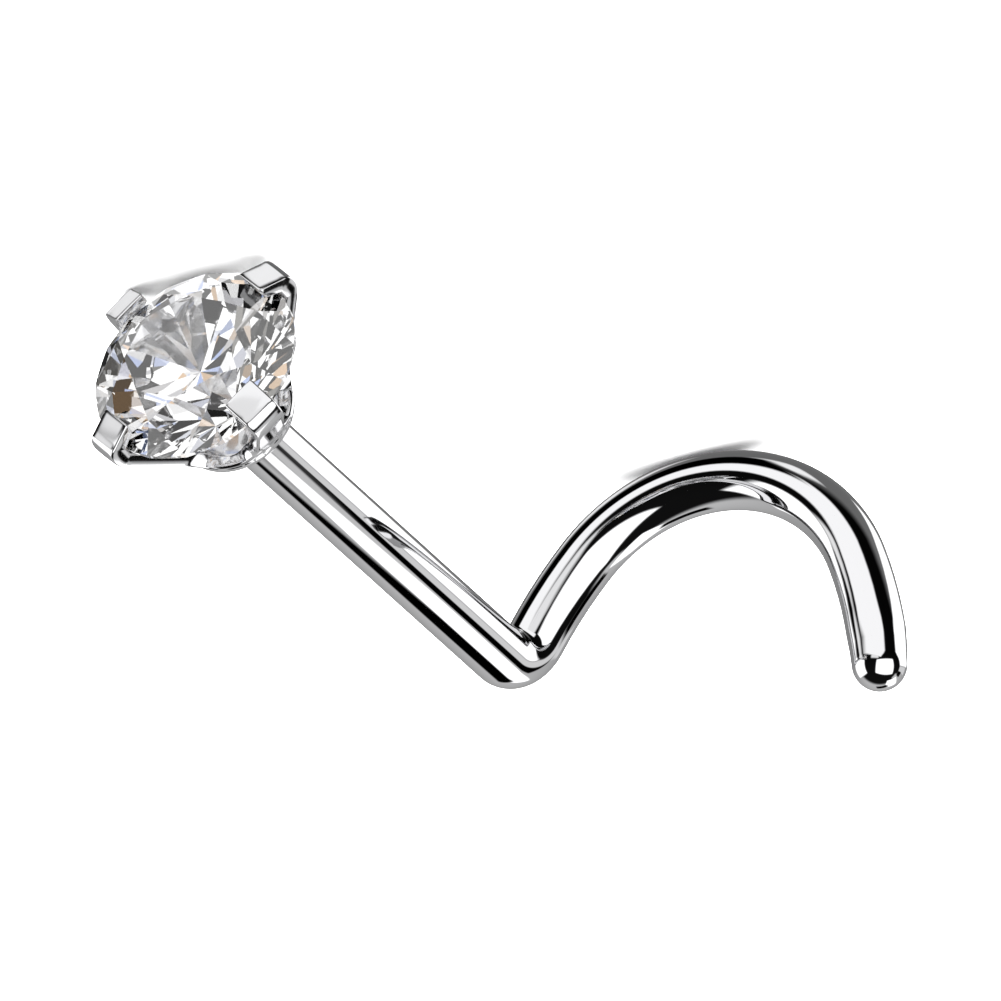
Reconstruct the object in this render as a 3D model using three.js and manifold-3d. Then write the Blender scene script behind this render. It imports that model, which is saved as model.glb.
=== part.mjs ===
// A push-fit nose screw stud, lying unworn on a table as it settles there by itself.
//
// The stud is three pieces. The screw post is a wire with a straight shank, a tight bend and an
// open hook; the shank's top is bored, so that it is a tube. The prong setting is a cup with four
// claws over a thin, slightly cranked pin, which pushes into the bore and pulls out along it.
// The stone is a round brilliant that the claws hold.
//
// Each piece is drawn in the stud's own frame: +Z runs up the shank towards the setting, the
// origin is the corner where the shank's axis meets the hook, and the hook sets off towards +X
// and curls round towards -Y. The stud is then laid down, on the back of its hook and the side
// of its head, with the stone towards -Y and the middle of its footprint at the origin.

import * as THREE from "three";
import { ConvexGeometry } from "three/addons/geometries/ConvexGeometry.js";
import { mergeVertices } from "three/addons/utils/BufferGeometryUtils.js";
import Module from "manifold-3d";

const wasm = await Module();
wasm.setup();

// ---------------------------------------------------------------- driving dimensions, in mm

const GAP = 0.02; // between pieces that touch

const WIRE_R = 0.4; // 20 gauge
const WIRE_SIDES = 16;
const WIRE_STEPS = 120;
const SHANK_LENGTH = 7.18; // from the corner up to the mouth of the bore
const BEND_R = 0.48;
const HOOK_HEADING = 17.6; // degrees from +X towards +Y
const HOOK_SINK = 5; // degrees that the hook's plane falls away from the setting
const HOOK_ARCS = [
  { radius: 6, turn: 11.7 },
  { radius: 2.37, turn: 118 },
  { radius: 6, turn: 15.9 },
];
const END_R = 0.372; // the rounded end, a little thinner than the wire

const BORE_R = 0.26;
const BORE_DEPTH = 3.7;
const PIN_R = 0.155;
const PIN_LENGTH = 3.4;
const PIN_PLAY = 0.08; // how far the pin swings off the bore's axis to each side
const PIN_ELBOW_R = 0.5;
const PIN_ROOT = 0.12; // of the pin's length that is sunk in the cup's floor
const PIN_END_R = 0.15;
const PIN_SIDES = 12;
const PIN_STEPS = 24;

const HEAD_LEAN = 7; // degrees that the head leans over on its cranked pin,
const HEAD_LEAN_TOWARDS = 15; // to this side, in degrees from +X towards +Y
const HEAD_TURN = 3; // degrees that the claws are turned from +X towards +Y
const HEAD_SHIFT = 0.03; // of the cup's foot off the shank's axis, against the lean

const GIRDLE_R = 1.44;
const GIRDLE_HEIGHT = 0.08;
const TABLE_R = 0.82; // to the corners of the table
const CROWN_ANGLE = 34;
const PAVILION_ANGLE = 40.75;
const STAR_LENGTH = 0.5; // of the way from the table's edge to the girdle
const LOWER_HALF_LENGTH = 0.77; // of the way from the girdle to the culet

const CUP_DEPTH = 1.45; // from the girdle plane down to the cup's underside
const SEAT_R = 0.45; // of the flat underside
const FOOT_R = 0.82; // of the cup's foot, round its rim
const FOOT_HEIGHT = 0.17; // of that rim above the underside
const FOOT_FLARE = 0.06; // by which the curve under the rim is slacker than a quarter round
const CUP_FLOOR = 0.15;
const CLAW_R = 1.695; // to the claws' backs, where they stand furthest out,
const CLAW_BELLY = 0.04; // which is this far above the girdle plane
const CLAW_WIDTH = 0.49;
const CLAW_THICKNESS = 0.2;
const CLAW_ROOT = { r: 0.86, z: -1.15 }; // the straight of a claw's back starts here
const CLAW_KNEE = { r: 1.6, z: -0.2 }; // and ends here
const PAD_SLOPE = 25; // degrees that the pads fall outwards
const PAD_TOP_R = 1.245; // of a pad's inner edge
const PAD_LENGTH = 0.37; // down the slope
const PAD_HEIGHT = 0.39; // of a pad's inner edge above the girdle plane
const PAD_ROUND = 0.03; // of the corner between a pad and its claw's back
const WINDOW_DEPTH = 1.2; // from the girdle plane to the bottom of the gaps between claws
const WINDOW_ROUND = 0.3; // height of the rounding at their bottom
const WINDOW_MEET = 0.62; // from a claw's middle to the middle of the gap beside it
const TURNED_SIDES = 48;

// The side that the stud lies on, in degrees from +X towards +Y, and how many degrees the shank
// falls towards the head.
const LIE_SIDE = 51.45;
const LIE_FALL = 5.79;

const rad = THREE.MathUtils.degToRad;

// ---------------------------------------------------------------- solids

// A closed three.js geometry as a manifold-3d solid.
function solidOf(geometry) {
  const bare = geometry.clone();
  bare.deleteAttribute("normal");
  bare.deleteAttribute("uv");
  const merged = mergeVertices(bare);
  return new wasm.Manifold(
    new wasm.Mesh({
      numProp: 3,
      vertProperties: merged.attributes.position.array,
      triVerts: new Uint32Array(merged.index.array),
    }),
  );
}

// A manifold-3d solid as a flat-shaded three.js geometry.
function geometryOf(solid) {
  const mesh = solid.getMesh();
  const indexed = new THREE.BufferGeometry();
  indexed.setAttribute("position", new THREE.BufferAttribute(mesh.vertProperties, 3));
  indexed.setIndex(new THREE.BufferAttribute(mesh.triVerts, 1));
  const flat = indexed.toNonIndexed();
  flat.computeVertexNormals();
  return flat;
}

// ---------------------------------------------------------------- bent wire

// An arc in space that leaves `start` along `heading` and turns through `angle` about `axis`.
class Arc extends THREE.Curve {
  constructor(start, heading, axis, radius, angle) {
    super();
    this.axis = axis.clone().normalize();
    this.spoke = new THREE.Vector3().crossVectors(heading, this.axis).multiplyScalar(radius);
    this.centre = start.clone().sub(this.spoke);
    this.angle = angle;
  }
  getPoint(t, target = new THREE.Vector3()) {
    return target.copy(this.spoke).applyAxisAngle(this.axis, t * this.angle).add(this.centre);
  }
}

// Bends a wire as its maker does: runs and turns are added one after another.
class Route extends THREE.CurvePath {
  constructor(start, heading) {
    super();
    this.end = start.clone();
    this.heading = heading.clone().normalize();
  }
  run(length) {
    const next = this.end.clone().addScaledVector(this.heading, length);
    this.add(new THREE.LineCurve3(this.end, next));
    this.end = next;
    return this;
  }
  turn(axis, radius, angle) {
    const arc = new Arc(this.end, this.heading, axis, radius, angle);
    this.add(arc);
    this.end = arc.getPoint(1);
    this.heading.applyAxisAngle(arc.axis, angle);
    return this;
  }
}

// A round bar along a route, with flat ends.
function bar(route, radius, sides, steps) {
  const section = new THREE.Shape().absarc(0, 0, radius, 0, 2 * Math.PI);
  return new THREE.ExtrudeGeometry(section, {
    extrudePath: route,
    steps,
    curveSegments: sides / 2,
  });
}

function ball(centre, radius) {
  return new THREE.SphereGeometry(radius, WIRE_SIDES, WIRE_SIDES / 2).translate(...centre);
}

// ---------------------------------------------------------------- screw post

function screwRoute() {
  const down = new THREE.Vector3(0, 0, -1);
  // The hook's plane holds +X and, square to it, the way that the hook curls.
  const curlTowards = new THREE.Vector3(0, -Math.cos(rad(HOOK_SINK)), -Math.sin(rad(HOOK_SINK)));
  const hookAxis = new THREE.Vector3(1, 0, 0).cross(curlTowards);
  const heading = new THREE.Vector3(1, 0, 0).applyAxisAngle(hookAxis, -rad(HOOK_HEADING));
  const bendAxis = new THREE.Vector3().crossVectors(down, heading);
  const bendAngle = down.angleTo(heading);
  const tangent = BEND_R * Math.tan(bendAngle / 2);

  const route = new Route(new THREE.Vector3(0, 0, SHANK_LENGTH), down);
  route.run(SHANK_LENGTH - tangent).turn(bendAxis, BEND_R, bendAngle);
  for (const { radius, turn } of HOOK_ARCS) {
    route.turn(hookAxis, radius, rad(turn));
  }
  return route;
}

function screwPost() {
  const route = screwRoute();
  const wire = solidOf(bar(route, WIRE_R, WIRE_SIDES, WIRE_STEPS));
  const end = solidOf(ball(route.end, END_R));
  const bore = new THREE.CylinderGeometry(BORE_R, BORE_R, 2 * BORE_DEPTH, WIRE_SIDES);
  bore.rotateX(Math.PI / 2).translate(0, 0, SHANK_LENGTH);
  return geometryOf(wire.add(end).subtract(solidOf(bore)));
}

// ---------------------------------------------------------------- prong setting
// Drawn with the girdle plane at z = 0 and the cup's underside at z = -CUP_DEPTH.

// The outline of cup and claws, turned about Z before the windows are cut.
function cupProfile() {
  const slope = rad(PAD_SLOPE);
  const padFoot = {
    r: PAD_TOP_R + PAD_LENGTH * Math.cos(slope),
    z: PAD_HEIGHT - PAD_LENGTH * Math.sin(slope),
  };
  const rise = Math.atan2(CLAW_KNEE.z - CLAW_ROOT.z, CLAW_KNEE.r - CLAW_ROOT.r);
  const kneeCorner = CLAW_KNEE.z + (CLAW_R - CLAW_KNEE.r) * Math.tan(rise);
  const inR = CLAW_THICKNESS * Math.sin(rise);
  const inZ = CLAW_THICKNESS * Math.cos(rise);
  const notchR = GIRDLE_R + GAP;
  const notchTop = GIRDLE_HEIGHT / 2 + GAP * 1.5;
  const underPad = notchTop + (GIRDLE_R - PAD_TOP_R) * Math.tan(rad(CROWN_ANGLE));
  const floor = CUP_FLOOR - CUP_DEPTH;

  const outline = new THREE.Path();
  outline.moveTo(0, -CUP_DEPTH);
  outline.lineTo(SEAT_R, -CUP_DEPTH);
  outline.quadraticCurveTo(FOOT_R - FOOT_FLARE, -CUP_DEPTH, FOOT_R, FOOT_HEIGHT - CUP_DEPTH);
  outline.lineTo(CLAW_ROOT.r, CLAW_ROOT.z);
  outline.lineTo(CLAW_KNEE.r, CLAW_KNEE.z);
  outline.quadraticCurveTo(CLAW_R, kneeCorner, CLAW_R, CLAW_BELLY);
  outline.quadraticCurveTo(CLAW_R, padFoot.z - PAD_ROUND, padFoot.r, padFoot.z);
  outline.lineTo(PAD_TOP_R, PAD_HEIGHT);
  outline.lineTo(PAD_TOP_R, underPad);
  outline.lineTo(notchR, notchTop);
  outline.lineTo(notchR, -notchTop);
  outline.lineTo(CLAW_KNEE.r - inR, CLAW_KNEE.z + inZ);
  outline.lineTo(CLAW_ROOT.r - inR, CLAW_ROOT.z + inZ);
  outline.lineTo(SEAT_R, floor);
  outline.lineTo(0, floor);
  return outline;
}

function turned(outline, divisions) {
  return new THREE.LatheGeometry(outline.getPoints(divisions), TURNED_SIDES).rotateX(Math.PI / 2);
}

// A pair of opposite claws and the foot between them, as a flat plate: parallel-sided down to
// the rounded bottoms of the windows, and wider than the foot below them.
function clawPlate() {
  const half = CLAW_WIDTH / 2;
  const reach = CLAW_R + CLAW_WIDTH; // clear of the claws all round
  const top = reach;
  const foot = -reach;
  const roundTop = WINDOW_ROUND - WINDOW_DEPTH;
  const roundR = WINDOW_MEET - half;
  const outline = new THREE.Shape();
  outline.moveTo(half, top);
  outline.lineTo(-half, top);
  outline.lineTo(-half, roundTop);
  outline.absellipse(-WINDOW_MEET, roundTop, roundR, WINDOW_ROUND, 0, -Math.PI / 2, true);
  outline.lineTo(-reach, -WINDOW_DEPTH);
  outline.lineTo(-reach, foot);
  outline.lineTo(reach, foot);
  outline.lineTo(reach, -WINDOW_DEPTH);
  outline.lineTo(WINDOW_MEET, -WINDOW_DEPTH);
  outline.absellipse(WINDOW_MEET, roundTop, roundR, WINDOW_ROUND, -Math.PI / 2, -Math.PI, true);
  outline.lineTo(half, top);
  const plate = new THREE.ExtrudeGeometry(outline, {
    depth: 2 * reach,
    bevelEnabled: false,
    curveSegments: 8,
  });
  return plate.translate(0, 0, -reach).rotateX(Math.PI / 2);
}

function cup() {
  const shell = solidOf(turned(cupProfile(), 4));
  const plate = clawPlate();
  const cross = solidOf(plate).add(solidOf(plate.clone().rotateZ(Math.PI / 2)));
  return geometryOf(shell.intersect(cross));
}

// The pin, in the frame of the cup's foot, where the shank's axis is a lean away. It leaves the
// cup square to it until it nears the bore's wall, then turns back and ends near the other side.
function pin() {
  const lean = rad(HEAD_LEAN);
  const firstLeg = PIN_ROOT + (PIN_PLAY - HEAD_SHIFT) / Math.sin(lean);
  const secondLeg = PIN_ROOT + PIN_LENGTH - firstLeg;
  const back = Math.asin((2 * PIN_PLAY) / secondLeg);
  const route = new Route(new THREE.Vector3(0, 0, PIN_ROOT), new THREE.Vector3(0, 0, -1));
  route.run(firstLeg).turn(new THREE.Vector3(0, -1, 0), PIN_ELBOW_R, lean + back).run(secondLeg);
  const rod = solidOf(bar(route, PIN_R, PIN_SIDES, PIN_STEPS));
  return rod.add(solidOf(ball(route.end, PIN_END_R)));
}

// The cup is drawn from its girdle plane, and turned so that the claws face HEAD_TURN.
function raised(geometry) {
  return geometry.translate(0, 0, CUP_DEPTH).rotateZ(rad(HEAD_TURN - HEAD_LEAN_TOWARDS));
}

function prongSetting() {
  return geometryOf(solidOf(raised(cup())).add(pin()));
}

// ---------------------------------------------------------------- stone

// Corners on a circle: `count` of them, the first at `turn` steps round.
function ring(count, radius, z, turn) {
  const corners = [];
  for (let i = 0; i < count; i++) {
    const a = ((i + turn) / count) * 2 * Math.PI;
    corners.push(new THREE.Vector3(radius * Math.cos(a), radius * Math.sin(a), z));
  }
  return corners;
}

// A round brilliant: table, star, upper girdle, girdle, lower girdle and culet, as the corners
// where its facets meet. The mains stand at whole eighths of a turn, the halves between them.
function brilliant() {
  const half = GIRDLE_HEIGHT / 2;
  const between = Math.cos(Math.PI / 8);
  const crownZ = (r) => half + (GIRDLE_R - r) * Math.tan(rad(CROWN_ANGLE));
  const pavilionZ = (r) => -half - (GIRDLE_R - r) * Math.tan(rad(PAVILION_ANGLE));
  const tableEdge = TABLE_R * between;
  const starR = tableEdge + STAR_LENGTH * (GIRDLE_R - tableEdge);
  const lowerR = (1 - LOWER_HALF_LENGTH) * GIRDLE_R;
  return new ConvexGeometry([
    ...ring(8, TABLE_R, crownZ(TABLE_R), 0),
    ...ring(8, starR, crownZ(starR * between), 0.5),
    ...ring(16, GIRDLE_R, half, 0),
    ...ring(16, GIRDLE_R, -half, 0),
    ...ring(8, lowerR, pavilionZ(lowerR * between), 0.5),
    new THREE.Vector3(0, 0, pavilionZ(0)),
  ]);
}

// ---------------------------------------------------------------- the stud

function metal() {
  return new THREE.MeshStandardMaterial({ color: 0xc9cacc, roughness: 0.08, metalness: 1 });
}

function clearStone() {
  return new THREE.MeshStandardMaterial({ color: 0xf4f6f8, roughness: 0.02, metalness: 0 });
}

function piece(name, geometry, material) {
  const mesh = new THREE.Mesh(geometry, material);
  mesh.name = name;
  return mesh;
}

// The head's origin is the middle of the cup's underside, and its +Z is the stone's axis. It
// leans over the mouth of the bore until the cup's underside meets the mouth's rim.
function headOverMouth() {
  const head = new THREE.Group();
  head.position.set(-HEAD_SHIFT, 0, GAP + WIRE_R * Math.sin(rad(HEAD_LEAN)));
  head.rotation.y = rad(HEAD_LEAN);
  head.add(piece("prong_setting", prongSetting(), metal()));
  head.add(piece("stone", raised(brilliant()), clearStone()));

  const mouth = new THREE.Group();
  mouth.position.z = SHANK_LENGTH;
  mouth.rotation.z = rad(HEAD_LEAN_TOWARDS);
  return mouth.add(head);
}

// Lays a stud down with its shank near -Y, and moves it until the table's top, z = 0, just
// touches it and the middle of its footprint is at the origin.
function laidDown(stud) {
  stud.rotation.set(rad(90 + LIE_FALL), 0, rad(-90 - LIE_SIDE));
  const laid = new THREE.Group().add(stud);
  laid.updateMatrixWorld(true);
  const box = new THREE.Box3().setFromObject(laid, true);
  const middle = box.getCenter(new THREE.Vector3());
  stud.position.set(-middle.x, -middle.y, -box.min.z);
  return laid;
}

const stud = new THREE.Group();
stud.add(piece("screw_post", screwPost(), metal()), headOverMouth());

export default laidDown(stud);
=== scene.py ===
"""The looks of a push-fit nose screw stud: mirror-polished metal and a clear round brilliant.

All lengths are in millimetres, in the stud's own frame, until a mesh is placed: +Z runs up the
shank towards the setting, and the hook sets off towards +X and curls round towards -Y. placed()
then turns a mesh into the row frame, in metres, where the stud lies on the floor.
"""

import math

import bmesh
import bpy
from mathutils import Matrix, Vector


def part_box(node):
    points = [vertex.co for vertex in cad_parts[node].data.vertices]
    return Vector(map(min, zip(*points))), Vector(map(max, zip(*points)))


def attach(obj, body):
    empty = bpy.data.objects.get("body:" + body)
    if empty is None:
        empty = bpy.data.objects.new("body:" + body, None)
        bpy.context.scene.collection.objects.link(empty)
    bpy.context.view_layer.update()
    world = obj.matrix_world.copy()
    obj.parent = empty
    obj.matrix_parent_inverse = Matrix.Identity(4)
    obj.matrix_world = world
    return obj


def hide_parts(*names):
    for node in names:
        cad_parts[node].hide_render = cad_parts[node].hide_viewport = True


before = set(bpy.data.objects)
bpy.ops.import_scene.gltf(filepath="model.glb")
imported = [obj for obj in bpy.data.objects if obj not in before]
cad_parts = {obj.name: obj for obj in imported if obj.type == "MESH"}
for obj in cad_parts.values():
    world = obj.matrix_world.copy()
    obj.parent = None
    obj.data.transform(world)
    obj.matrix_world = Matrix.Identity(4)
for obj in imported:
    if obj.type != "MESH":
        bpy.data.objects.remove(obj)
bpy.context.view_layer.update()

MM = 0.001
rad = math.radians

# ---------------------------------------------------------------- dimensions, angles in degrees

WIRE_R = 0.4
SHANK_LENGTH = 7.18
BEND_R = 0.48
HOOK_HEADING = 17.6
HOOK_SINK = 5
HOOK_ARCS = [(6, 11.7), (2.37, 118), (6, 15.9)]  # radius and angle
END_R = 0.372
END_TAPER = 0.5  # of the wire's length over which it thins to the rounded end
BORE_R = 0.26
BORE_DEPTH = 3.7
RIM_R = 0.035  # rounding of the tube's mouth
WIRE_SIDES = 96
WIRE_STOPS_PER_TURN = 144
RIM_STEPS = 5
END_STEPS = 16

PIN_R = 0.155
PIN_LENGTH = 3.4
PIN_PLAY = 0.08
PIN_ELBOW_R = 0.5
PIN_ROOT = 0.12
PIN_TIP = 0.1
PIN_SIDES = 40
PIN_STOPS_PER_TURN = 360
PIN_TIP_STEPS = 8

HEAD_LEAN = 7
HEAD_LEAN_TOWARDS = 15
HEAD_TURN = 3
HEAD_SHIFT = 0.03
GAP = 0.02

GIRDLE_R = 1.44
GIRDLE_HEIGHT = 0.08
TABLE_R = 0.82
CROWN_ANGLE = 34
PAVILION_ANGLE = 40.75
STAR_LENGTH = 0.5  # of the way from the table's edge to the girdle
LOWER_HALF_LENGTH = 0.77  # of the way from the girdle to the culet
GIRDLE_SIDES = 128
CUT_TOLERANCE = 1e-5
WELD_DISTANCE = 1e-4

CUP_DEPTH = 1.45
SEAT_R = 0.45
FOOT_R = 0.82
FOOT_HEIGHT = 0.17
FOOT_FLARE = 0.06
CUP_FLOOR = 0.15
# The foot's rim as (radius, height): where it leaves the outside, how it rolls over and its crest,
# and the radius at which it runs down to the cup's floor.
FOOT_RIM = (0.848, -1.18)
FOOT_RIM_ROLL = (0.838, -1.14)
FOOT_CREST = (0.788, -1.145)
FOOT_INNER_R = 0.728
CLAW_R = 1.695
CLAW_BELLY = 0.04
CLAW_WIDTH = 0.49
CLAW_THICKNESS = 0.2
CLAW_INSET = 0.008  # how far its flat part is drawn in
CLAW_ROOT = (0.86, -1.15)  # radius and height
CLAW_KNEE = (1.6, -0.2)
PAD_SLOPE = 25
PAD_TOP_R = 1.245
PAD_LENGTH = 0.37
PAD_HEIGHT = 0.39
PAD_ROUND = 0.03
PAD_DOME = 0.005  # bulge of a claw's outer face across it, and of its pad along it
NOTCH_PLAY = 0.03  # above and below the girdle
WINDOW_DEPTH = 1.2
WINDOW_ROUND = 0.3
WINDOW_MEET = 0.62
CLAW_EDGE = 0.028  # rounding along the claws' edges
EDGE_LIMIT = 0.45  # of a section's thickness and half width, for that rounding
AXIS_CLEARANCE = 0.05  # square of how near the cup's axis a claw's broad root may come
# How finely a claw is drawn: up its strap, round a bend, along its pad, across it and round an edge.
STRAP_STEPS = 36
BEND_STEPS = 8
PAD_STEPS = 6
ACROSS_STEPS = 8
CORNER_STEPS = 4
FOOT_SIDES = 128
FOOT_STEPS = 10
FOOT_RIM_STEPS = 4
FOOT_FLOOR_STEPS = 6

LIE_SIDE = 51.45  # how far the stud is rolled round its shank
LIE_FALL = 5.79  # how far its shank leans past level

# ---------------------------------------------------------------- placing


def turned_by(angle, axis):
    return Matrix.Rotation(rad(angle), 4, axis)


LAID = turned_by(90 + LIE_FALL, "X") @ turned_by(-90 - LIE_SIDE, "Z")
HEAD = (
    Matrix.Translation((0, 0, SHANK_LENGTH))
    @ turned_by(HEAD_LEAN_TOWARDS, "Z")
    @ Matrix.Translation((-HEAD_SHIFT, 0, GAP + WIRE_R * math.sin(rad(HEAD_LEAN))))
    @ turned_by(HEAD_LEAN, "Y")
)
GIRDLE = (
    HEAD
    @ turned_by(HEAD_TURN - HEAD_LEAN_TOWARDS, "Z")
    @ Matrix.Translation((0, 0, CUP_DEPTH))
)


def stone_corners():
    """The corners where the stone's facets meet, with the girdle plane at z = 0."""
    half = GIRDLE_HEIGHT / 2
    between = math.cos(math.pi / 8)
    table_edge = TABLE_R * between
    star_r = table_edge + STAR_LENGTH * (GIRDLE_R - table_edge)
    lower_r = (1 - LOWER_HALF_LENGTH) * GIRDLE_R

    def crown_z(r):
        return half + (GIRDLE_R - r) * math.tan(rad(CROWN_ANGLE))

    def pavilion_z(r):
        return -half - (GIRDLE_R - r) * math.tan(rad(PAVILION_ANGLE))

    def ring(count, radius, z, turn):
        angles = [(i + turn) / count * 2 * math.pi for i in range(count)]
        return [Vector((radius * math.cos(a), radius * math.sin(a), z)) for a in angles]

    return {
        "table": ring(8, TABLE_R, crown_z(TABLE_R), 0),
        "star": ring(8, star_r, crown_z(star_r * between), 0.5),
        "upper": ring(16, GIRDLE_R, half, 0),
        "lower": ring(16, GIRDLE_R, -half, 0),
        "deep": ring(8, lower_r, pavilion_z(lower_r * between), 0.5),
        "culet": [Vector((0, 0, pavilion_z(0)))],
    }


def row_offset():
    """How far the laid-down stud moves to stand where the CAD stone is."""
    points = [LAID @ GIRDLE @ p * MM for ring in stone_corners().values() for p in ring]
    lowest = Vector(map(min, *points))
    highest = Vector(map(max, *points))
    cad_low, cad_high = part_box("stone")
    return (cad_low + cad_high) / 2 - (lowest + highest) / 2


TO_ROW = Matrix.Translation(row_offset()) @ Matrix.Scale(MM, 4) @ LAID


def placed(name, bm, within, body, node, material):
    """Adds a finished piece, from a bmesh in millimetres that is drawn in the frame `within`."""
    bm.transform(TO_ROW @ within)
    bmesh.ops.recalc_face_normals(bm, faces=bm.faces)
    mesh = bpy.data.meshes.new(name)
    bm.to_mesh(mesh)
    bm.free()
    mesh.materials.append(material)
    obj = bpy.data.objects.new(name, mesh)
    bpy.context.scene.collection.objects.link(obj)
    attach(obj, body)
    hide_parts(node)


# ---------------------------------------------------------------- bent wire


class Route:
    """A bent wire's centre line, as (length so far, point, heading) stops."""

    def __init__(self, start, heading, stops_per_turn):
        self.stops = [(0.0, Vector(start), Vector(heading).normalized())]
        self.stops_per_turn = stops_per_turn

    def run(self, length):
        s, point, heading = self.stops[-1]
        self.stops.append((s + length, point + heading * length, heading))
        return self

    def turn(self, axis, radius, angle):
        s, point, heading = self.stops[-1]
        axis = axis.normalized()
        spoke = heading.cross(axis) * radius
        centre = point - spoke
        count = max(2, math.ceil(self.stops_per_turn * angle / (2 * math.pi)))
        for i in range(1, count + 1):
            part = angle * i / count
            turn = Matrix.Rotation(part, 3, axis)
            self.stops.append((s + radius * part, centre + turn @ spoke, turn @ heading))
        return self


def framed(stops):
    """Adds to each stop two directions square to its heading that don't spin along the wire."""
    side = stops[0][2].orthogonal().normalized()
    out = []
    for s, point, heading in stops:
        side = (side - heading * side.dot(heading)).normalized()
        out.append((s, point, heading, side, heading.cross(side)))
    return out


def skin(bm, rings):
    """Faces between each ring of corners and the next; a ring of one corner closes to a point."""
    for a, b in zip(rings, rings[1:]):
        sides = max(len(a), len(b))
        for i in range(sides):
            j = (i + 1) % sides
            corners = [a[i % len(a)], a[j % len(a)], b[j % len(b)], b[i % len(b)]]
            bm.faces.new(list(dict.fromkeys(corners)))


def tube(stops, profile, sides):
    """A closed body of rings round a centre line. profile is (stop, shift along it, radius) for
    each ring, and its two ends have no radius."""
    bm = bmesh.new()
    rings = []
    for stop, shift, radius in profile:
        _, point, heading, u, v = stops[stop]
        centre = point + heading * shift
        if radius == 0:
            rings.append([bm.verts.new(centre)])
            continue
        ring = []
        for i in range(sides):
            a = 2 * math.pi * i / sides
            ring.append(bm.verts.new(centre + (u * math.cos(a) + v * math.sin(a)) * radius))
        rings.append(ring)
    skin(bm, rings)
    for face in bm.faces:
        face.smooth = True
    return bm


def quarter_round(count):
    """Angles from just above 0 to a quarter turn."""
    return [math.pi / 2 * i / count for i in range(1, count + 1)]


def screw_route():
    """The wire's centre line: down the shank, round the bend and along the hook's arcs."""
    down = Vector((0, 0, -1))
    curl_towards = Vector((0, -math.cos(rad(HOOK_SINK)), -math.sin(rad(HOOK_SINK))))
    hook_axis = Vector((1, 0, 0)).cross(curl_towards)
    heading = Matrix.Rotation(-rad(HOOK_HEADING), 3, hook_axis) @ Vector((1, 0, 0))
    bend = down.angle(heading)
    tangent = BEND_R * math.tan(bend / 2)
    route = Route((0, 0, SHANK_LENGTH), down, WIRE_STOPS_PER_TURN)
    route.run(SHANK_LENGTH - tangent).turn(down.cross(heading), BEND_R, bend)
    for radius, turn in HOOK_ARCS:
        route.turn(hook_axis, radius, rad(turn))
    return route


def screw_post():
    """The wire, from the bottom of its bore round the mouth's rim to the rounded end."""
    stops = framed(screw_route().stops)
    length = stops[-1][0]
    profile = [(0, BORE_DEPTH, 0), (0, BORE_DEPTH, BORE_R), (0, RIM_R, BORE_R)]
    for a in quarter_round(RIM_STEPS):
        profile.append((0, RIM_R * (1 - math.sin(a)), BORE_R + RIM_R * (1 - math.cos(a))))
    profile.append((0, 0, WIRE_R - RIM_R))
    for a in quarter_round(RIM_STEPS):
        profile.append((0, RIM_R * (1 - math.cos(a)), WIRE_R - RIM_R * (1 - math.sin(a))))
    for i in range(1, len(stops)):
        left = length - stops[i][0]
        share = max(0.0, 1 - left / END_TAPER)
        blend = share * share * (3 - 2 * share)
        profile.append((i, 0, WIRE_R + (END_R - WIRE_R) * blend))
    last = len(stops) - 1
    for a in quarter_round(END_STEPS)[:-1]:
        profile.append((last, END_R * math.sin(a), END_R * math.cos(a)))
    profile.append((last, END_R, 0))
    return tube(stops, profile, WIRE_SIDES)


# ---------------------------------------------------------------- prong setting


def add_mesh(bm, other):
    """Adds a bmesh's faces to another."""
    mesh = bpy.data.meshes.new("part")
    other.to_mesh(mesh)
    other.free()
    bm.from_mesh(mesh)
    bpy.data.meshes.remove(mesh)


def bezier(a, control, b, count):
    """Points on a quadratic curve from just after a to b, as (radius, height)."""
    points = []
    for i in range(1, count + 1):
        t = i / count
        weights = ((1 - t) ** 2, 2 * t * (1 - t), t * t)
        r = sum(w * p[0] for w, p in zip(weights, (a, control, b)))
        z = sum(w * p[1] for w, p in zip(weights, (a, control, b)))
        points.append((r, z))
    return points


def along(points, share):
    """The point at a share of a line of (radius, height) points."""
    lengths = [math.dist(a, b) for a, b in zip(points, points[1:])]
    left = share * sum(lengths)
    for (a, b), length in zip(zip(points, points[1:]), lengths):
        if left <= length:
            t = left / length
            return (a[0] + (b[0] - a[0]) * t, a[1] + (b[1] - a[1]) * t)
        left -= length
    return points[-1]


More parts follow.
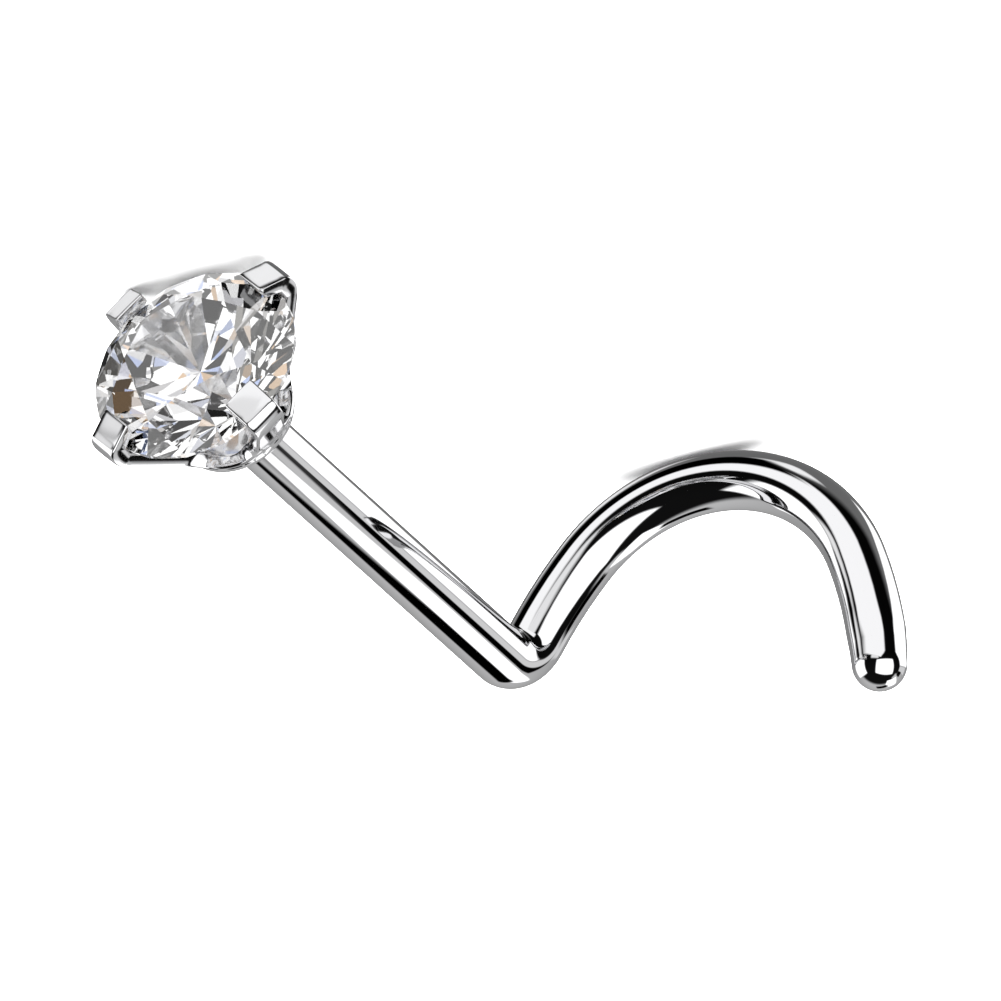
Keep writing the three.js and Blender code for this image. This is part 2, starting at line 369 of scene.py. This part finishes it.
def claw_sections():
    """Pairs of outer and inner (radius, height) points, from the cup's foot to the pad's tip."""
    slope = rad(PAD_SLOPE)
    pad_top = (PAD_TOP_R, PAD_HEIGHT)
    pad_foot = (PAD_TOP_R + PAD_LENGTH * math.cos(slope), PAD_HEIGHT - PAD_LENGTH * math.sin(slope))
    rise = math.atan2(CLAW_KNEE[1] - CLAW_ROOT[1], CLAW_KNEE[0] - CLAW_ROOT[0])
    in_r = CLAW_THICKNESS * math.sin(rise)
    in_z = CLAW_THICKNESS * math.cos(rise)
    knee_corner = CLAW_KNEE[1] + (CLAW_R - CLAW_KNEE[0]) * math.tan(rise)
    notch_r = GIRDLE_R + GAP
    notch_top = GIRDLE_HEIGHT / 2 + NOTCH_PLAY
    under_pad = notch_top + (GIRDLE_R - PAD_TOP_R) * math.tan(rad(CROWN_ANGLE))

    foot_top = (FOOT_R, FOOT_HEIGHT - CUP_DEPTH)
    straight_out = [foot_top, CLAW_ROOT, CLAW_KNEE]
    straight_in = [
        (SEAT_R + in_r, CUP_FLOOR - CUP_DEPTH),
        (CLAW_ROOT[0] - in_r, CLAW_ROOT[1] + in_z),
        (CLAW_KNEE[0] - in_r, CLAW_KNEE[1] + in_z),
    ]
    sections = []
    for i in range(STRAP_STEPS + 1):
        t = i / STRAP_STEPS
        sections.append((along(straight_out, t), along(straight_in, t)))
    back = bezier(CLAW_KNEE, (CLAW_R, knee_corner), (CLAW_R, CLAW_BELLY), BEND_STEPS)
    notch = [straight_in[-1], (notch_r, -notch_top), (notch_r, 0)]
    for i, point in enumerate(back):
        sections.append((point, along(notch, (i + 1) / len(back))))
    crown_corner = (CLAW_R, pad_foot[1] - PAD_ROUND)
    crown = bezier((CLAW_R, CLAW_BELLY), crown_corner, pad_foot, BEND_STEPS)
    shoulder = [(notch_r, 0), (notch_r, notch_top)]
    for i, point in enumerate(crown):
        sections.append((point, along(shoulder, (i + 1) / len(crown))))
    for i in range(1, PAD_STEPS + 1):
        t = i / PAD_STEPS
        outer = along([pad_foot, pad_top], t)
        outer = (outer[0], outer[1] + PAD_DOME * 4 * t * (1 - t))
        inner = along([(notch_r, notch_top), (PAD_TOP_R, under_pad)], t)
        sections.append((outer, inner))
    return sections


def half_width(z):
    """Of a claw at a height: parallel-sided, and spreading into its neighbours at the foot."""
    half = CLAW_WIDTH / 2
    below = (WINDOW_ROUND - WINDOW_DEPTH) - z
    if below <= 0:
        return half
    share = min(1.0, below / WINDOW_ROUND)
    return WINDOW_MEET - (WINDOW_MEET - half) * math.sqrt(max(0.0, 1 - share * share))


def section_loop(outer, inner, half, edge):
    """A closed loop round a claw's section, with rounded corners. It lies on the cup's round
    wall near the foot and is flat from side to side higher up."""
    thickness = math.dist(outer, inner)
    edge = min(edge, thickness * EDGE_LIMIT, half * EDGE_LIMIT)
    flat = min(1.0, max(0.0, (outer[1] - CLAW_ROOT[1]) / (CLAW_KNEE[1] - CLAW_ROOT[1])))
    flat = flat * flat * (3 - 2 * flat)
    outline = []
    for i in range(ACROSS_STEPS + 1):
        share = 2 * i / ACROSS_STEPS - 1
        outline.append((-PAD_DOME * flat * (1 - share * share), (half - edge) * share))
    for a in quarter_round(CORNER_STEPS):
        outline.append((edge * (1 - math.cos(a)), half - edge + edge * math.sin(a)))
    for a in quarter_round(CORNER_STEPS):
        outline.append((thickness - edge + edge * math.sin(a), half - edge + edge * math.cos(a)))
    for i in range(1, ACROSS_STEPS + 1):
        outline.append((thickness, (half - edge) * (1 - 2 * i / ACROSS_STEPS)))
    for a in quarter_round(CORNER_STEPS):
        outline.append((thickness - edge * (1 - math.cos(a)), -half + edge - edge * math.sin(a)))
    for a in quarter_round(CORNER_STEPS)[:-1]:
        outline.append((edge - edge * math.sin(a), -half + edge - edge * math.cos(a)))
    loop = []
    for depth, y in outline:
        t = depth / thickness
        r = outer[0] + (inner[0] - outer[0]) * t
        z = outer[1] + (inner[1] - outer[1]) * t
        bow = r - math.sqrt(max(r * r - y * y, AXIS_CLEARANCE))
        loop.append(Vector((r - bow * (1 - flat) - CLAW_INSET * flat, y, z)))
    return loop


def shrunk(outer, inner, inset):
    """A section's two points, each moved towards the other."""
    thickness = math.dist(outer, inner)
    step_r = (inner[0] - outer[0]) * inset / thickness
    step_z = (inner[1] - outer[1]) * inset / thickness
    return (outer[0] + step_r, outer[1] + step_z), (inner[0] - step_r, inner[1] - step_z)


def claw(bm, turn):
    """One claw, from inside the cup's foot to the tip of its pad."""
    sections = claw_sections()
    loops = []
    for outer, inner in sections[:-1]:
        middle = (outer[1] + inner[1]) / 2
        loops.append(section_loop(outer, inner, half_width(middle), CLAW_EDGE))
    tip_out, tip_in = sections[-1]
    half = CLAW_WIDTH / 2
    slope = rad(PAD_SLOPE)
    for a in [0.0, *quarter_round(CORNER_STEPS)]:
        inset = CLAW_EDGE * (1 - math.cos(a))
        ahead = CLAW_EDGE * (1 - math.sin(a))
        outer, inner = shrunk(tip_out, tip_in, inset)
        outer = (outer[0] + ahead * math.cos(slope), outer[1] - ahead * math.sin(slope))
        inner = (inner[0] + ahead * math.cos(slope), inner[1] - ahead * math.sin(slope))
        loops.append(section_loop(outer, inner, half - inset, CLAW_EDGE))
    spin = turned_by(turn, "Z")
    rings = [[bm.verts.new(spin @ p) for p in loop] for loop in loops]
    skin(bm, rings)
    bm.faces.new(rings[0])
    bm.faces.new(rings[-1])


def foot(bm):
    """The cup's round foot: a dish whose rim the claws grow out of."""
    floor_z = CUP_FLOOR - CUP_DEPTH
    foot_corner = (FOOT_R - FOOT_FLARE, -CUP_DEPTH)
    profile = [(SEAT_R / 2, -CUP_DEPTH), (SEAT_R, -CUP_DEPTH)]
    foot_top = (FOOT_R, FOOT_HEIGHT - CUP_DEPTH)
    profile += bezier(profile[-1], foot_corner, foot_top, FOOT_STEPS)
    profile.append(FOOT_RIM)
    profile += bezier(FOOT_RIM, FOOT_RIM_ROLL, FOOT_CREST, FOOT_RIM_STEPS)
    profile += bezier(FOOT_CREST, (FOOT_INNER_R, floor_z), (SEAT_R, floor_z), FOOT_FLOOR_STEPS)
    rings = []
    for r, z in profile:
        angles = [2 * math.pi * i / FOOT_SIDES for i in range(FOOT_SIDES)]
        rings.append([bm.verts.new((r * math.cos(a), r * math.sin(a), z)) for a in angles])
    skin(bm, rings)
    bm.faces.new(rings[0])
    bm.faces.new(rings[-1])


def pin():
    """The thin pin under the cup, in the head's frame: cranked a little, with a rounded tip."""
    lean = rad(HEAD_LEAN)
    first = PIN_ROOT + (PIN_PLAY - HEAD_SHIFT) / math.sin(lean)
    second = PIN_ROOT + PIN_LENGTH - first
    back = math.asin(2 * PIN_PLAY / second)
    route = Route((0, 0, PIN_ROOT), (0, 0, -1), PIN_STOPS_PER_TURN)
    route.run(first).turn(Vector((0, -1, 0)), PIN_ELBOW_R, lean + back).run(second)
    stops = framed(route.stops)
    last = len(stops) - 1
    profile = [(0, 0, 0), (0, 0, PIN_R)]
    profile += [(i, 0, PIN_R) for i in range(1, last)]
    profile.append((last, 0, PIN_R))
    for a in quarter_round(PIN_TIP_STEPS)[:-1]:
        profile.append((last, PIN_TIP * math.sin(a), PIN_R - PIN_TIP * (1 - math.cos(a))))
    profile.append((last, PIN_TIP, 0))
    return tube(stops, profile, PIN_SIDES)


def prong_setting():
    bm = bmesh.new()
    for i in range(4):
        claw(bm, 90 * i)
    foot(bm)
    bm.transform(HEAD.inverted() @ GIRDLE)
    add_mesh(bm, pin())
    for face in bm.faces:
        face.smooth = True
    return bm


# ---------------------------------------------------------------- stone


def facet_planes():
    """Three corners on each facet's plane."""
    c = stone_corners()
    planes = [(c["table"][0], c["table"][1], c["table"][2])]
    for i in range(8):
        j = (i + 1) % 8
        before = (i - 1) % 8
        planes.append((c["table"][i], c["table"][j], c["star"][i]))
        planes.append((c["table"][i], c["star"][before], c["star"][i]))
        planes.append((c["star"][i], c["upper"][2 * i], c["upper"][2 * i + 1]))
        planes.append((c["star"][i], c["upper"][2 * i + 1], c["upper"][(2 * i + 2) % 16]))
        planes.append((c["culet"][0], c["deep"][before], c["deep"][i]))
        planes.append((c["deep"][i], c["lower"][2 * i], c["lower"][2 * i + 1]))
        planes.append((c["deep"][i], c["lower"][2 * i + 1], c["lower"][(2 * i + 2) % 16]))
    return planes


def brilliant():
    """A round bar with each facet cut across it in turn, so that the girdle stays round."""
    bm = bmesh.new()
    bmesh.ops.create_cone(
        bm,
        cap_ends=True,
        segments=GIRDLE_SIDES,
        radius1=GIRDLE_R,
        radius2=GIRDLE_R,
        depth=4 * GIRDLE_R,
    )
    for a, b, c in facet_planes():
        normal = (b - a).cross(c - a).normalized()
        if normal.dot(a) < 0:
            normal = -normal
        cut = bmesh.ops.bisect_plane(
            bm,
            geom=bm.verts[:] + bm.edges[:] + bm.faces[:],
            plane_co=a,
            plane_no=normal,
            clear_outer=True,
            dist=CUT_TOLERANCE,
        )
        edges = [e for e in cut["geom_cut"] if isinstance(e, bmesh.types.BMEdge) and e.is_boundary]
        bmesh.ops.holes_fill(bm, edges=edges, sides=0)
    bmesh.ops.remove_doubles(bm, verts=bm.verts, dist=WELD_DISTANCE)
    return bm


# ---------------------------------------------------------------- materials

METAL_COLOUR = (0.66, 0.66, 0.67)
POST_POLISH = (0.02, 0.045)  # roughness, from the best buffed spots to the worst
SETTING_POLISH = (0.07, 0.12)
BUFFING_SCALE = 900  # per metre
BUFFING_DETAIL = 3
STONE_IOR = 2.16
FLOOR_GREY = 0.9
FLOOR_ROUGHNESS = 0.6


def new_material(name):
    material = bpy.data.materials.new(name)
    material.use_nodes = True
    nodes = material.node_tree.nodes
    nodes.clear()
    return material, nodes, material.node_tree.links


def polished_metal(name, polish):
    """Mirror-polished metal: a buffed roughness that varies a little over a few tenths of a mm."""
    material, nodes, links = new_material(name)
    out = nodes.new("ShaderNodeOutputMaterial")
    bsdf = nodes.new("ShaderNodeBsdfPrincipled")
    bsdf.inputs["Base Color"].default_value = (*METAL_COLOUR, 1)
    bsdf.inputs["Metallic"].default_value = 1
    place = nodes.new("ShaderNodeTexCoord")
    noise = nodes.new("ShaderNodeTexNoise")
    noise.inputs["Scale"].default_value = BUFFING_SCALE
    noise.inputs["Detail"].default_value = BUFFING_DETAIL
    spread = nodes.new("ShaderNodeMapRange")
    spread.inputs["To Min"].default_value = polish[0]
    spread.inputs["To Max"].default_value = polish[1]
    links.new(place.outputs["Object"], noise.inputs["Vector"])
    links.new(noise.outputs["Fac"], spread.inputs["Value"])
    links.new(spread.outputs["Result"], bsdf.inputs["Roughness"])
    links.new(bsdf.outputs["BSDF"], out.inputs["Surface"])
    return material


def clear_stone(name):
    """Cubic zirconia: clear, highly refractive and perfectly polished."""
    material, nodes, links = new_material(name)
    out = nodes.new("ShaderNodeOutputMaterial")
    bsdf = nodes.new("ShaderNodeBsdfPrincipled")
    bsdf.inputs["Base Color"].default_value = (1, 1, 1, 1)
    bsdf.inputs["Roughness"].default_value = 0
    bsdf.inputs["IOR"].default_value = STONE_IOR
    bsdf.inputs["Transmission Weight"].default_value = 1
    links.new(bsdf.outputs["BSDF"], out.inputs["Surface"])
    return material


def pale_floor(name):
    material, nodes, links = new_material(name)
    out = nodes.new("ShaderNodeOutputMaterial")
    bsdf = nodes.new("ShaderNodeBsdfPrincipled")
    bsdf.inputs["Base Color"].default_value = (FLOOR_GREY, FLOOR_GREY, FLOOR_GREY, 1)
    bsdf.inputs["Roughness"].default_value = FLOOR_ROUGHNESS
    links.new(bsdf.outputs["BSDF"], out.inputs["Surface"])
    return material


# ---------------------------------------------------------------- camera and studio

VIEW_WIDTH = 13.171  # across the square view, at the stud
LENS = 1400
SENSOR = 36
CLIP = (0.2, 4)  # of the camera's distance

# The camera's own directions in the stud's frame, and where the view's middle is from the corner
# of the stud's bend.
CAMERA_RIGHT = Vector((0.6724, -0.5514, -0.4938))
CAMERA_BACK = Vector((0.0, -0.6671, 0.745))
MIDDLE_RIGHT = -0.24
MIDDLE_UP = 2.262
MIDDLE_BACK = 2.0


def camera_axes():
    turn = LAID.to_3x3()
    back = (turn @ CAMERA_BACK).normalized()
    right = turn @ CAMERA_RIGHT
    right = (right - back * right.dot(back)).normalized()
    return right, back.cross(right), back


def make_camera():
    right, up, back = camera_axes()
    data = bpy.data.cameras.new("camera")
    data.lens = LENS
    data.sensor_width = SENSOR
    distance = VIEW_WIDTH * MM * LENS / SENSOR
    corner = TO_ROW @ Vector((0, 0, 0))
    aim = corner + (right * MIDDLE_RIGHT + up * MIDDLE_UP + back * MIDDLE_BACK) * MM
    camera = bpy.data.objects.new("camera", data)
    turn = Matrix((right, up, back)).transposed().to_4x4()
    camera.matrix_world = Matrix.Translation(aim + back * distance) @ turn
    data.clip_start = distance * CLIP[0]
    data.clip_end = distance * CLIP[1]
    bpy.context.scene.collection.objects.link(camera)
    bpy.context.scene.camera = camera


# Soft panels round the stud, as seen from it with the camera straight ahead: degrees to the
# camera's right and up, half its width and height in degrees, how soft its edges are, and how
# bright it is.
PANELS = [
    {"at": (-92, -12), "half": (27, 25), "soft": 3, "light": 1.9},
    {"at": (-91, 19), "half": (8, 5), "soft": 3, "light": 1.15},
    {"at": (22, -12), "half": (37, 32), "soft": 3, "light": 1.9},
    {"at": (-38, 56), "half": (38, 20), "soft": 3, "light": 1.4},
    {"at": (-22, 36), "half": (15, 12), "soft": 4, "light": 1.15},
    {"at": (118, 18), "half": (28, 24), "soft": 3, "light": 1.9},
    {"at": (112, -15), "half": (20, 8), "soft": 2, "light": 0.9},
    {"at": (118, -56), "half": (19, 16), "soft": 2, "light": 1.9},
    {"at": (92, -41), "half": (10, 9), "soft": 4, "light": 0.75},
    {"at": (-148, 32), "half": (10, 9), "soft": 5, "light": 1.15},
    {"at": (-158, 72), "half": (9, 8), "soft": 4, "light": 1.3},
]
# Dark flags between the panels, given in the same way; their light is what they take away.
FLAGS = [
    {"at": (101, -28), "half": (9, 7), "soft": 1.5, "light": 1.0},
    {"at": (165, -66), "half": (13, 8), "soft": 2, "light": 1.0},
    {"at": (-110, 50), "half": (15, 22), "soft": 3, "light": 1.0},
    {"at": (-112, 21), "half": (14, 9), "soft": 3, "light": 1.0},
]
# Apart from the panels, the half behind the stud glows and the camera's half is all but black.
BEHIND_LIGHT = 0.42
FRONT_LIGHT = 0.004
BEHIND_EDGE = (-0.25, 0.05)  # cosines from the camera, over which one gives way to the other
BEHIND_FADE = (0.45, 1.75)  # of the light, straight down and straight up
BACKDROP_LIGHT = 1.0  # where the camera sees past the floor
# The stone gathers its own patchwork instead, and mirrors it: the colours by a patch's level.
SPARKLE = [
    (0.0, (0.005, 0.005, 0.005)),
    (0.1, (0.06, 0.06, 0.06)),
    (0.18, (0.36, 0.35, 0.33)),
    (0.22, (0.95, 0.64, 0.38)),
    (0.26, (0.62, 0.6, 0.58)),
    (0.34, (0.7, 0.7, 0.73)),
    (0.38, (0.46, 0.58, 0.95)),
    (0.42, (0.95, 0.95, 0.95)),
    (0.54, (1.35, 1.35, 1.35)),
]
SPARKLE_SCALE = 4.4  # patches per unit of direction
DRIFT_SCALE = 7.0  # of the noise that shades each patch
DRIFT = 0.9  # and how far it moves the level

# The floor and its lamp, in metres and watts.
FLOOR_SIZE = 0.4
LAMP_HEIGHT = 0.12
LAMP_SIZE = 0.3
LAMP_POWER = 1.6


def direction(azimuth, elevation):
    """A direction in the row frame, from degrees to the camera's right and up."""
    right, up, back = camera_axes()
    level = right * math.sin(rad(azimuth)) + back * math.cos(rad(azimuth))
    return level * math.cos(rad(elevation)) + up * math.sin(rad(elevation))


class Shades:
    """Builds the world's brightness from the direction that is looked in."""

    def __init__(self, tree):
        self.nodes = tree.nodes
        self.links = tree.links
        self.look = tree.nodes.new("ShaderNodeTexCoord").outputs["Generated"]

    def dot(self, way):
        node = self.nodes.new("ShaderNodeVectorMath")
        node.operation = "DOT_PRODUCT"
        self.links.new(self.look, node.inputs[0])
        node.inputs[1].default_value = way
        return node.outputs["Value"]

    def math(self, operation, a, b=0.0):
        node = self.nodes.new("ShaderNodeMath")
        node.operation = operation
        for socket, value in ((node.inputs[0], a), (node.inputs[1], b)):
            if isinstance(value, (int, float)):
                socket.default_value = value
            else:
                self.links.new(value, socket)
        return node.outputs["Value"]

    def step(self, value, start, end, low=0.0, high=1.0):
        node = self.nodes.new("ShaderNodeMapRange")
        node.interpolation_type = "SMOOTHSTEP"
        self.links.new(value, node.inputs["Value"])
        node.inputs["From Min"].default_value = start
        node.inputs["From Max"].default_value = end
        node.inputs["To Min"].default_value = low
        node.inputs["To Max"].default_value = high
        return node.outputs["Result"]

    def panel(self, at, half, soft, light):
        """A panel's brightness: full inside, none outside, and a soft step between."""
        to_it = direction(*at)
        across = direction(at[0] + 90, 0)
        upward = to_it.cross(across)
        ahead = self.math("MAXIMUM", self.dot(to_it), 0.001)
        mask = None
        for way, size in ((across, half[0]), (upward, half[1])):
            off = self.math("ARCTAN2", self.math("ABSOLUTE", self.dot(way)), ahead)
            inside = self.step(off, rad(size - soft), rad(size + soft), 1.0, 0.0)
            mask = inside if mask is None else self.math("MULTIPLY", mask, inside)
        return self.math("MULTIPLY", mask, light)

    def sparkle(self):
        """What the stone gathers and glints: many bright and dark patches."""
        patches = self.nodes.new("ShaderNodeTexVoronoi")
        patches.inputs["Scale"].default_value = SPARKLE_SCALE
        self.links.new(self.look, patches.inputs["Vector"])
        level = self.nodes.new("ShaderNodeSeparateColor")
        self.links.new(patches.outputs["Color"], level.inputs["Color"])
        drift = self.nodes.new("ShaderNodeTexNoise")
        drift.inputs["Scale"].default_value = DRIFT_SCALE
        self.links.new(self.look, drift.inputs["Vector"])
        shift = self.math("MULTIPLY", self.math("SUBTRACT", drift.outputs["Fac"], 0.5), DRIFT)
        ramp = self.nodes.new("ShaderNodeValToRGB")
        points = ramp.color_ramp.elements
        while len(points) < len(SPARKLE):
            points.new(1.0)
        for point, (start, colour) in zip(points, SPARKLE):
            point.position = start
            point.color = (*colour, 1)
        self.links.new(self.math("ADD", level.outputs["Red"], shift), ramp.inputs["Fac"])
        return ramp.outputs["Color"]

    def choose(self, switch, off, on):
        """on where switch is 1, and off where it is 0."""
        node = self.nodes.new("ShaderNodeMix")
        node.data_type = "RGBA"
        self.links.new(switch, node.inputs["Factor"])
        for socket, value in ((node.inputs["A"], off), (node.inputs["B"], on)):
            if isinstance(value, tuple):
                socket.default_value = (*value, 1)
            else:
                self.links.new(value, socket)
        return node.outputs["Result"]


def studio_world():
    """The panels for the metal, the patchwork for the stone and a plain backdrop."""
    world = bpy.data.worlds.new("studio")
    world.use_nodes = True
    tree = world.node_tree
    tree.nodes.clear()
    shades = Shades(tree)
    _, _, back = camera_axes()
    behind = shades.step(shades.dot(back), *BEHIND_EDGE, BEHIND_LIGHT, FRONT_LIGHT)
    fade = shades.step(shades.dot((0, 0, 1)), -1, 1, *BEHIND_FADE)
    total = shades.math("MULTIPLY", behind, fade)
    for panel in PANELS:
        total = shades.math("MAXIMUM", total, shades.panel(**panel))
    for flag in FLAGS:
        left = shades.math("SUBTRACT", 1.0, shades.panel(**flag))
        total = shades.math("MULTIPLY", total, left)
    path = tree.nodes.new("ShaderNodeLightPath")
    through = shades.choose(path.outputs["Is Singular Ray"], total, shades.sparkle())
    colour = shades.choose(path.outputs["Is Camera Ray"], through, (BACKDROP_LIGHT,) * 3)
    background = tree.nodes.new("ShaderNodeBackground")
    tree.links.new(colour, background.inputs["Color"])
    out = tree.nodes.new("ShaderNodeOutputWorld")
    tree.links.new(background.outputs["Background"], out.inputs["Surface"])
    bpy.context.scene.world = world


def make_floor():
    bm = bmesh.new()
    bmesh.ops.create_grid(bm, x_segments=1, y_segments=1, size=FLOOR_SIZE)
    mesh = bpy.data.meshes.new("floor")
    bm.to_mesh(mesh)
    bm.free()
    mesh.materials.append(pale_floor("pale_floor"))
    floor = bpy.data.objects.new("floor", mesh)
    bpy.context.scene.collection.objects.link(floor)
    floor.visible_glossy = False
    floor.visible_transmission = False


def overhead_lamp():
    """A big soft lamp that lights the floor; polished metal and stone show the panels instead."""
    data = bpy.data.lights.new("overhead", "AREA")
    data.size = LAMP_SIZE
    data.energy = LAMP_POWER
    lamp = bpy.data.objects.new("overhead", data)
    lamp.location = (0, 0, LAMP_HEIGHT)
    lamp.visible_glossy = False
    lamp.visible_transmission = False
    bpy.context.scene.collection.objects.link(lamp)


# ---------------------------------------------------------------- the scene

make_camera()
studio_world()
make_floor()
overhead_lamp()

placed(
    "polished_post",
    screw_post(),
    within=Matrix.Identity(4),
    body="post",
    node="screw_post",
    material=polished_metal("polished_post", POST_POLISH),
)
placed(
    "polished_setting",
    prong_setting(),
    within=HEAD,
    body="top",
    node="prong_setting",
    material=polished_metal("polished_setting", SETTING_POLISH),
)
placed(
    "brilliant",
    brilliant(),
    within=GIRDLE,
    body="top",
    node="stone",
    material=clear_stone("clear_stone"),
)

bpy.context.scene.view_settings.view_transform = "Standard"

bpy.context.view_layer.update()
